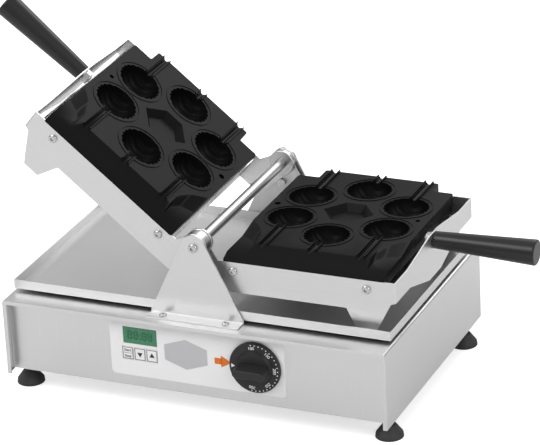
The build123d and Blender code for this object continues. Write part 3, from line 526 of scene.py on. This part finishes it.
class WAFFLE_OT_controls(bpy.types.Operator):
    """Dress the overlay, display and keys, and add the legends, arrow and plain plate"""
    bl_idname = "waffle.controls"
    bl_label = "Display and keys"

    def execute(self, context):
        sizes = context.scene.waffle_sizes
        surface_of("control_overlay", "overlay film")
        surface_of("display_window", "display tint")
        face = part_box("control_overlay")[0].y
        self.ghost_digits(middle("display_window"))
        for node in ("key_start_stop", "key_down", "key_up"):
            surface_of(node, "key film", smooth=40)
            low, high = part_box(node)
            at = middle(node)
            top = low.y - LIFT
            width = high.x - low.x - OUTLINE_NARROWER
            height = high.z - low.z - OUTLINE_LOWER
            line = flat_ring(at.x, top, at.z, width, height, OUTLINE_CORNER, OUTLINE_LINE)
            printed(line, node + "_outline", "legend ink", BODY_OF[node])
        start = middle("key_start_stop")
        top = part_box("key_start_stop")[0].y - LIFT
        words = [
            flat_words("Start", sizes.legend_size, start.x, top, start.z + START_ABOVE),
            flat_words("Stop", sizes.legend_size, start.x, top, start.z - STOP_BELOW),
            flat_rectangle(start.x, top, start.z, RULE_WIDTH, RULE_HEIGHT),
        ]
        printed(joined(words), "key_start_stop_words", "legend ink", "start_stop_key")
        for node, turn in (("key_down", math.pi), ("key_up", 0.0)):
            at = middle(node)
            mark = flat_triangle(at.x, top, at.z, KEY_MARK_RADIUS, turn)
            printed(mark, node + "_mark", "legend ink", BODY_OF[node])
        self.silver_plate(face, sizes)
        self.arrow(face, sizes)
        return {"FINISHED"}

    def ghost_digits(self, at):
        """Faint unlit segments on the display's tint."""
        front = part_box("display_window")[0].y
        words = flat_words("88:88", DIGIT_SIZE, at.x, front - DIGIT_LIFT, at.z)
        printed(words, "display_digits", "display segments", "base")

    def silver_plate(self, face, sizes):
        """A plain six-sided plate between the keys and the dial."""
        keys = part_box("key_up")[1]
        dial = middle("thermostat_knob")
        place = (keys.x + PLATE_PAST_KEYS, face - LIFT, dial.z + PLATE_ABOVE_DIAL)
        bpy.ops.mesh.primitive_circle_add(
            vertices=6, radius=0.5, fill_type="NGON", location=place, rotation=FACING_FRONT)
        plate = bpy.context.object
        plate.scale = (sizes.badge_width / math.cos(math.radians(30)), sizes.badge_height, 1)
        printed(plate, "silver_plate", "silver plate", "base")

    def arrow(self, face, sizes):
        """A printed arrow that points at the dial."""
        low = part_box("thermostat_knob")[0]
        dial = middle("thermostat_knob")
        tip = low.x - ARROW_GAP
        part = sizes.arrow_length * ARROW_PART_LENGTH
        head = flat_triangle(
            tip - sizes.arrow_length * ARROW_HEAD_AT, face - LIFT, dial.z, part, math.pi / 2)
        tail = flat_rectangle(
            tip - sizes.arrow_length * ARROW_TAIL_AT, face - LIFT, dial.z, part, ARROW_TAIL_HEIGHT)
        printed(joined([head, tail]), "dial_arrow", "arrow ink", "base")


DIAL_SKIRT = 5.0 * MM
DIAL_GAP = 1.4 * MM
DIAL_NUMBERS = ("100", "150", "200", "250", "300")
DIAL_DOTS = 21
# Degrees from the dial's right side, and clockwise steps
DIAL_START = 97
DIAL_NUMBER_STEP = 49
DIAL_DOT_STEP = 9.8
DOT_RADIUS = 0.85 * MM
DOT_SIDES = 10
POINTER_OUT = 31 * MM
POINTER_RADIUS = 3.4 * MM


def on_dial(angle, radius):
    """Sideways and upright place of a mark, from its angle and distance on the dial."""
    centre = JOINT_AT["thermostat_turn"]
    return centre[0] + radius * math.cos(angle), centre[2] + radius * math.sin(angle)


class WAFFLE_OT_dial(bpy.types.Operator):
    """Dress the thermostat dial and print its numbers, dots and pointer"""
    bl_idname = "waffle.dial"
    bl_label = "Thermostat dial"

    def execute(self, context):
        sizes = context.scene.waffle_sizes
        surface_of("thermostat_knob", "dial plastic", smooth=40)
        centre = JOINT_AT["thermostat_turn"]
        skirt = DIAL_GAP + DIAL_SKIRT
        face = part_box("control_overlay")[1].y - skirt - LIFT
        marks = []
        for step, number in enumerate(DIAL_NUMBERS):
            angle = math.radians(DIAL_START - DIAL_NUMBER_STEP * step)
            x, z = on_dial(angle, sizes.dial_number_radius)
            marks.append(flat_words(number, sizes.dial_number_size, x, face, z, math.pi / 2 - angle))
        for step in range(DIAL_DOTS):
            angle = math.radians(DIAL_START - DIAL_DOT_STEP * step)
            x, z = on_dial(angle, sizes.dial_dot_radius)
            bpy.ops.mesh.primitive_circle_add(
                vertices=DOT_SIDES, radius=DOT_RADIUS, fill_type="NGON",
                location=(x, face, z), rotation=FACING_FRONT)
            dot = bpy.context.object
            settle(dot)
            marks.append(dot)
        marks.append(flat_triangle(centre[0] - POINTER_OUT, face, centre[2], POINTER_RADIUS, math.pi / 2))
        printed(joined(marks), "dial_marks", "dial white", "thermostat")
        return {"FINISHED"}


# The view fitted to the photograph: metres, millimetres for lens and sensor, shares for the shift
CAMERA_AT = Vector((1.6271, -3.6052, 1.9607))
CAMERA_AZIMUTH = math.radians(24.09)
CAMERA_ELEVATION = math.radians(23.85)
CAMERA_ROLL = math.radians(2.88)
CAMERA_LENS = 215.04
CAMERA_SENSOR = 36
CAMERA_SHIFT = (-0.0109, 0.0014)
CAMERA_REACH = 30

FLOOR_SIZE = 14
FLOOR_GREY = (0.8, 0.8, 0.8, 1)
FLOOR_GLOW = 0.62
WHITE = (1, 1, 1, 1)
# How steeply a look goes up, from -1 to 1, and the room's strength there
ROOM_LOW = -0.2
ROOM_HIGH = 0.9
ROOM_DIM = 0.42
ROOM_BRIGHT = 0.95

LAMPS_AIM = Vector((0, 0, 0.2))
# Name, place and size in metres, and power in watts
SOFTBOXES = (
    ("key_softbox", (-1.6, -1.9, 2.6), 1.6, 42),
    ("fill_softbox", (2.6, -1.2, 1.7), 1.8, 20),
    ("rear_softbox", (0.3, 2.6, 2.2), 2.0, 26),
)


class WAFFLE_OT_stage(bpy.types.Operator):
    """Set up the floor, the soft lights, the world and the camera"""
    bl_idname = "waffle.stage"
    bl_label = "Studio stage"

    def execute(self, context):
        self.floor()
        self.world(context)
        self.lights()
        self.camera(context)
        context.scene.view_settings.view_transform = "Standard"
        return {"FINISHED"}

    def floor(self):
        """A pale floor that takes the shadow and looks near white to the camera."""
        bpy.ops.mesh.primitive_plane_add(size=FLOOR_SIZE, location=(0, 0, 0))
        floor = bpy.context.object
        floor.name = "studio_floor"
        paper = bpy.data.materials.new("studio paper")
        paper.use_nodes = True
        tree = paper.node_tree
        tree.nodes.clear()
        out = tree.nodes.new("ShaderNodeOutputMaterial")
        both = tree.nodes.new("ShaderNodeAddShader")
        paint = tree.nodes.new("ShaderNodeBsdfDiffuse")
        paint.inputs["Color"].default_value = FLOOR_GREY
        glow = tree.nodes.new("ShaderNodeEmission")
        glow.inputs["Color"].default_value = WHITE
        path = tree.nodes.new("ShaderNodeLightPath")
        seen = tree.nodes.new("ShaderNodeMath")
        seen.operation = "MULTIPLY"
        seen.inputs[1].default_value = FLOOR_GLOW
        tree.links.new(path.outputs["Is Camera Ray"], seen.inputs[0])
        tree.links.new(seen.outputs["Value"], glow.inputs["Strength"])
        tree.links.new(paint.outputs["BSDF"], both.inputs[0])
        tree.links.new(glow.outputs["Emission"], both.inputs[1])
        tree.links.new(both.outputs["Shader"], out.inputs["Surface"])
        floor.data.materials.append(paper)

    def world(self, context):
        """White to the camera, and a room that is brighter overhead to everything else."""
        world = bpy.data.worlds.new("studio")
        context.scene.world = world
        world.use_nodes = True
        tree = world.node_tree
        tree.nodes.clear()
        out = tree.nodes.new("ShaderNodeOutputWorld")
        mix = tree.nodes.new("ShaderNodeMixShader")
        room = tree.nodes.new("ShaderNodeBackground")
        white = tree.nodes.new("ShaderNodeBackground")
        white.inputs["Color"].default_value = WHITE
        place = tree.nodes.new("ShaderNodeTexCoord")
        split = tree.nodes.new("ShaderNodeSeparateXYZ")
        height = tree.nodes.new("ShaderNodeMapRange")
        height.inputs["From Min"].default_value = ROOM_LOW
        height.inputs["From Max"].default_value = ROOM_HIGH
        height.inputs["To Min"].default_value = ROOM_DIM
        height.inputs["To Max"].default_value = ROOM_BRIGHT
        path = tree.nodes.new("ShaderNodeLightPath")
        tree.links.new(place.outputs["Generated"], split.inputs["Vector"])
        tree.links.new(split.outputs["Z"], height.inputs["Value"])
        tree.links.new(height.outputs["Result"], room.inputs["Strength"])
        tree.links.new(path.outputs["Is Camera Ray"], mix.inputs["Fac"])
        tree.links.new(room.outputs["Background"], mix.inputs[1])
        tree.links.new(white.outputs["Background"], mix.inputs[2])
        tree.links.new(mix.outputs["Shader"], out.inputs["Surface"])

    def softbox(self, name, at, size, power):
        """A square lamp that faces the object."""
        bpy.ops.object.light_add(type="AREA", location=at)
        lamp = bpy.context.object
        lamp.name = name
        lamp.data.size = size
        lamp.data.energy = power
        aim = LAMPS_AIM - Vector(at)
        lamp.rotation_euler = aim.to_track_quat("-Z", "Y").to_euler()

    def lights(self):
        """The three soft lamps: left front, right front and rear."""
        for name, at, size, power in SOFTBOXES:
            self.softbox(name, at, size, power)

    def camera(self, context):
        """The photograph's view, as a long lens with a slight roll."""
        forward = Vector((
            -math.sin(CAMERA_AZIMUTH) * math.cos(CAMERA_ELEVATION),
            math.cos(CAMERA_AZIMUTH) * math.cos(CAMERA_ELEVATION),
            -math.sin(CAMERA_ELEVATION),
        ))
        across = forward.cross(Vector((0, 0, 1))).normalized()
        down = forward.cross(across)
        right = across * math.cos(CAMERA_ROLL) + down * math.sin(CAMERA_ROLL)
        up = across * math.sin(CAMERA_ROLL) - down * math.cos(CAMERA_ROLL)
        turn = Matrix((right, up, -forward)).transposed().to_4x4()
        data = bpy.data.cameras.new("photo_camera")
        data.lens = CAMERA_LENS
        data.sensor_width = CAMERA_SENSOR
        data.shift_x, data.shift_y = CAMERA_SHIFT
        data.clip_end = CAMERA_REACH
        camera = bpy.data.objects.new("photo_camera", data)
        context.scene.collection.objects.link(camera)
        camera.matrix_world = Matrix.Translation(CAMERA_AT) @ turn
        context.scene.camera = camera


class WAFFLE_PT_panel(bpy.types.Panel):
    """Lists the steps that dress the waffle maker"""
    bl_idname = "WAFFLE_PT_panel"
    bl_label = "Stick waffle maker"
    bl_space_type = "VIEW_3D"
    bl_region_type = "UI"
    bl_category = "Waffle Maker"

    def draw(self, context):
        for step in STEPS:
            self.layout.operator(step.bl_idname)
        for group in (context.scene.waffle_sizes, context.scene.waffle_colours):
            for name in group.__annotations__:
                self.layout.prop(group, name)


STEPS = (
    WAFFLE_OT_housing,
    WAFFLE_OT_halves,
    WAFFLE_OT_turned,
    WAFFLE_OT_inside,
    WAFFLE_OT_controls,
    WAFFLE_OT_dial,
    WAFFLE_OT_stage,
)
CLASSES = (WaffleSizes, WaffleColours, *STEPS, WAFFLE_PT_panel)


def register():
    for made in CLASSES:
        bpy.utils.register_class(made)
    bpy.types.Scene.waffle_sizes = bpy.props.PointerProperty(type=WaffleSizes)
    bpy.types.Scene.waffle_colours = bpy.props.PointerProperty(type=WaffleColours)


def unregister():
    del bpy.types.Scene.waffle_sizes
    del bpy.types.Scene.waffle_colours
    for made in reversed(CLASSES):
        bpy.utils.unregister_class(made)


def main():
    register()
    bpy.ops.waffle.housing()
    bpy.ops.waffle.halves()
    bpy.ops.waffle.turned()
    bpy.ops.waffle.inside()
    bpy.ops.waffle.controls()
    bpy.ops.waffle.dial()
    bpy.ops.waffle.stage()


if __name__ == "__main__":
    main()
